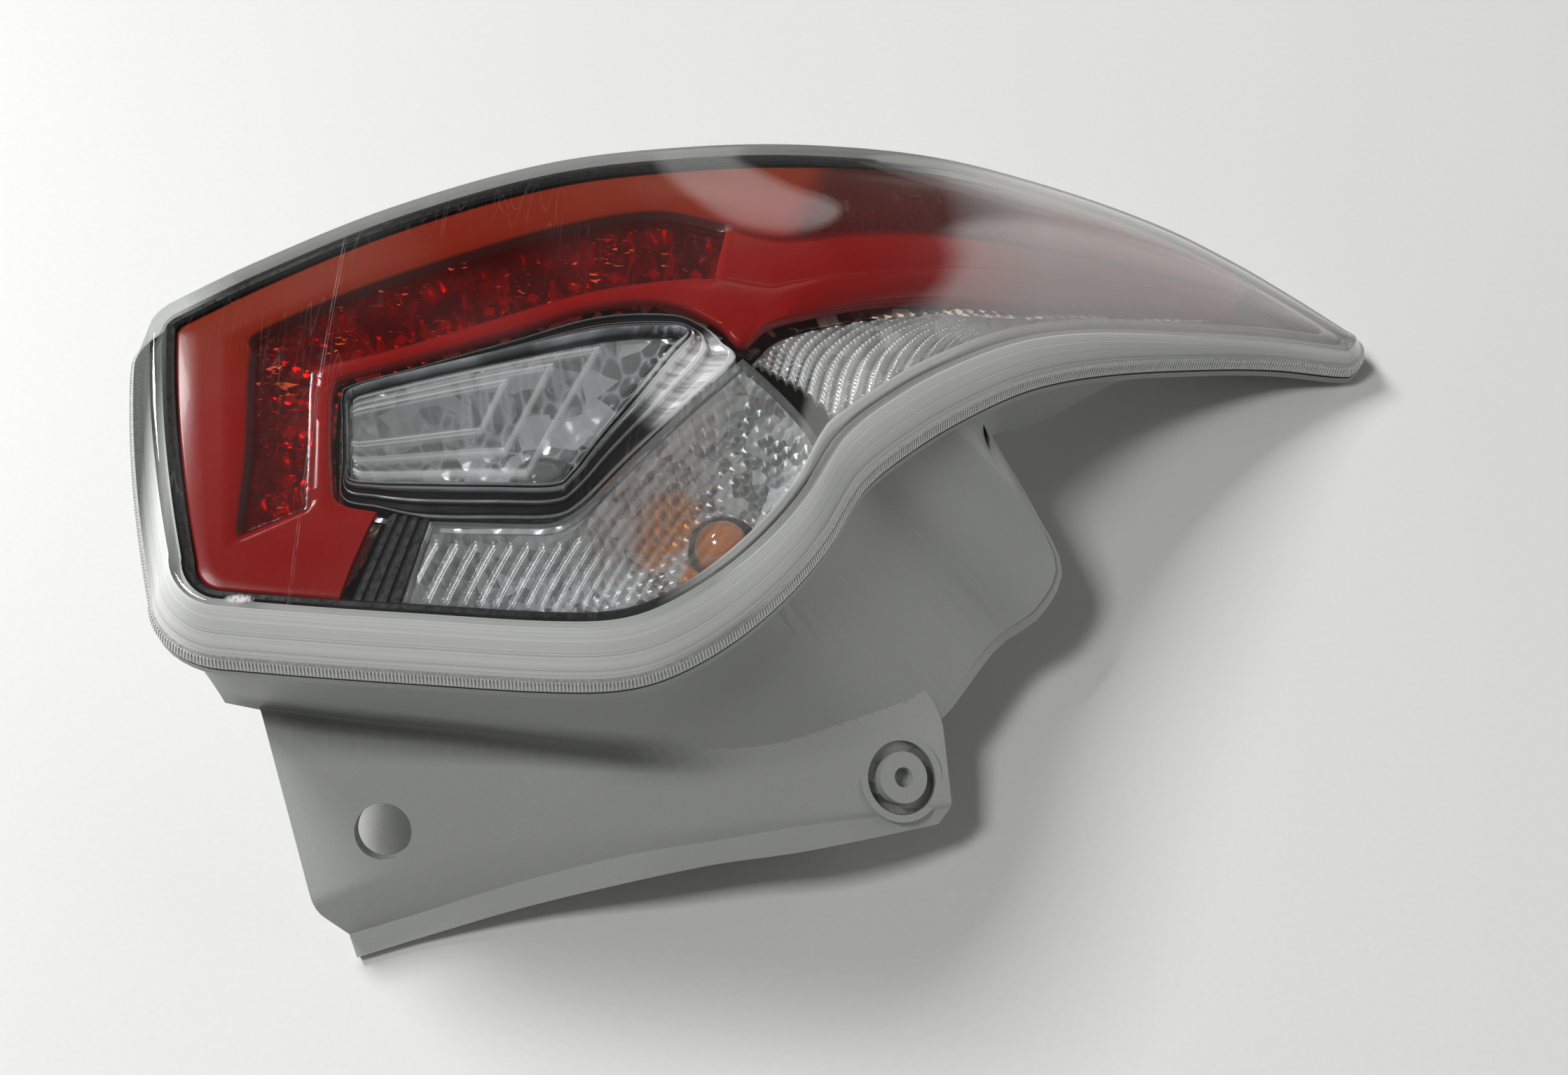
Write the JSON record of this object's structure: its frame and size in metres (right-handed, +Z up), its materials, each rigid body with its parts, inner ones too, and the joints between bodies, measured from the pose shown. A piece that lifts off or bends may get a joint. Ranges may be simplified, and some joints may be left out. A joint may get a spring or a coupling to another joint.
{
  "type": "vehicle tail light cluster",
  "caption": "Wrap-round rear lamp cluster with clear outer lens, red, reverse and indicator chambers, grey housing and bolting flange.",
  "frame": {"origin": "middle of the lamp's foot print on the table, the lamp lying on its back", "axes": "+X along the lamp from its blunt end to its tip, +Y across the lamp away from the mounting flange, +Z up, out of the lens face"},
  "size_m": [0.4614, 0.2968, 0.1384],
  "materials": {
    "grey_housing": "satin moulded grey plastic",
    "clear_lens": "clear glossy plastic with fine scratches",
    "seal": "black rubber",
    "black_frame": "black satin plastic",
    "red_lens": "deep red transparent plastic",
    "red_metallised": "metallised plastic seen through the red lens",
    "board": "green circuit board",
    "diode": "cast resin",
    "inner_clear": "clear patterned plastic",
    "metallised": "vacuum metallised plastic",
    "dark_chrome": "dark bright plated plastic",
    "bulb_clear": "clear bulb glass",
    "bulb_amber": "amber bulb glass",
    "bulb_cap": "plated cap",
    "holder": "black plastic",
    "white_pin": "off-white plastic"
  },
  "bodies": {
    "root": {"housing": "grey_housing", "outer_lens": "clear_lens", "sealing_bead": "seal", "frame": "black_frame", "red_inner_lens": "red_lens", "led_reflector": "red_metallised", "led_board": "board", "leds": "diode", "reverse_inner_lens": "inner_clear", "reverse_reflector": "metallised", "chrome_trim": "dark_chrome", "indicator_inner_lens": "inner_clear", "indicator_reflector": "metallised", "side_reflector": "metallised", "reverse_bulb_glass": "bulb_clear", "reverse_bulb_cap": "bulb_cap", "reverse_holder": "holder", "indicator_bulb_glass": "bulb_amber", "indicator_bulb_cap": "bulb_cap", "indicator_holder": "holder", "holder_seals": "seal", "breather_caps": "seal", "locating_pins": "white_pin"}
  },
  "joints": []
}
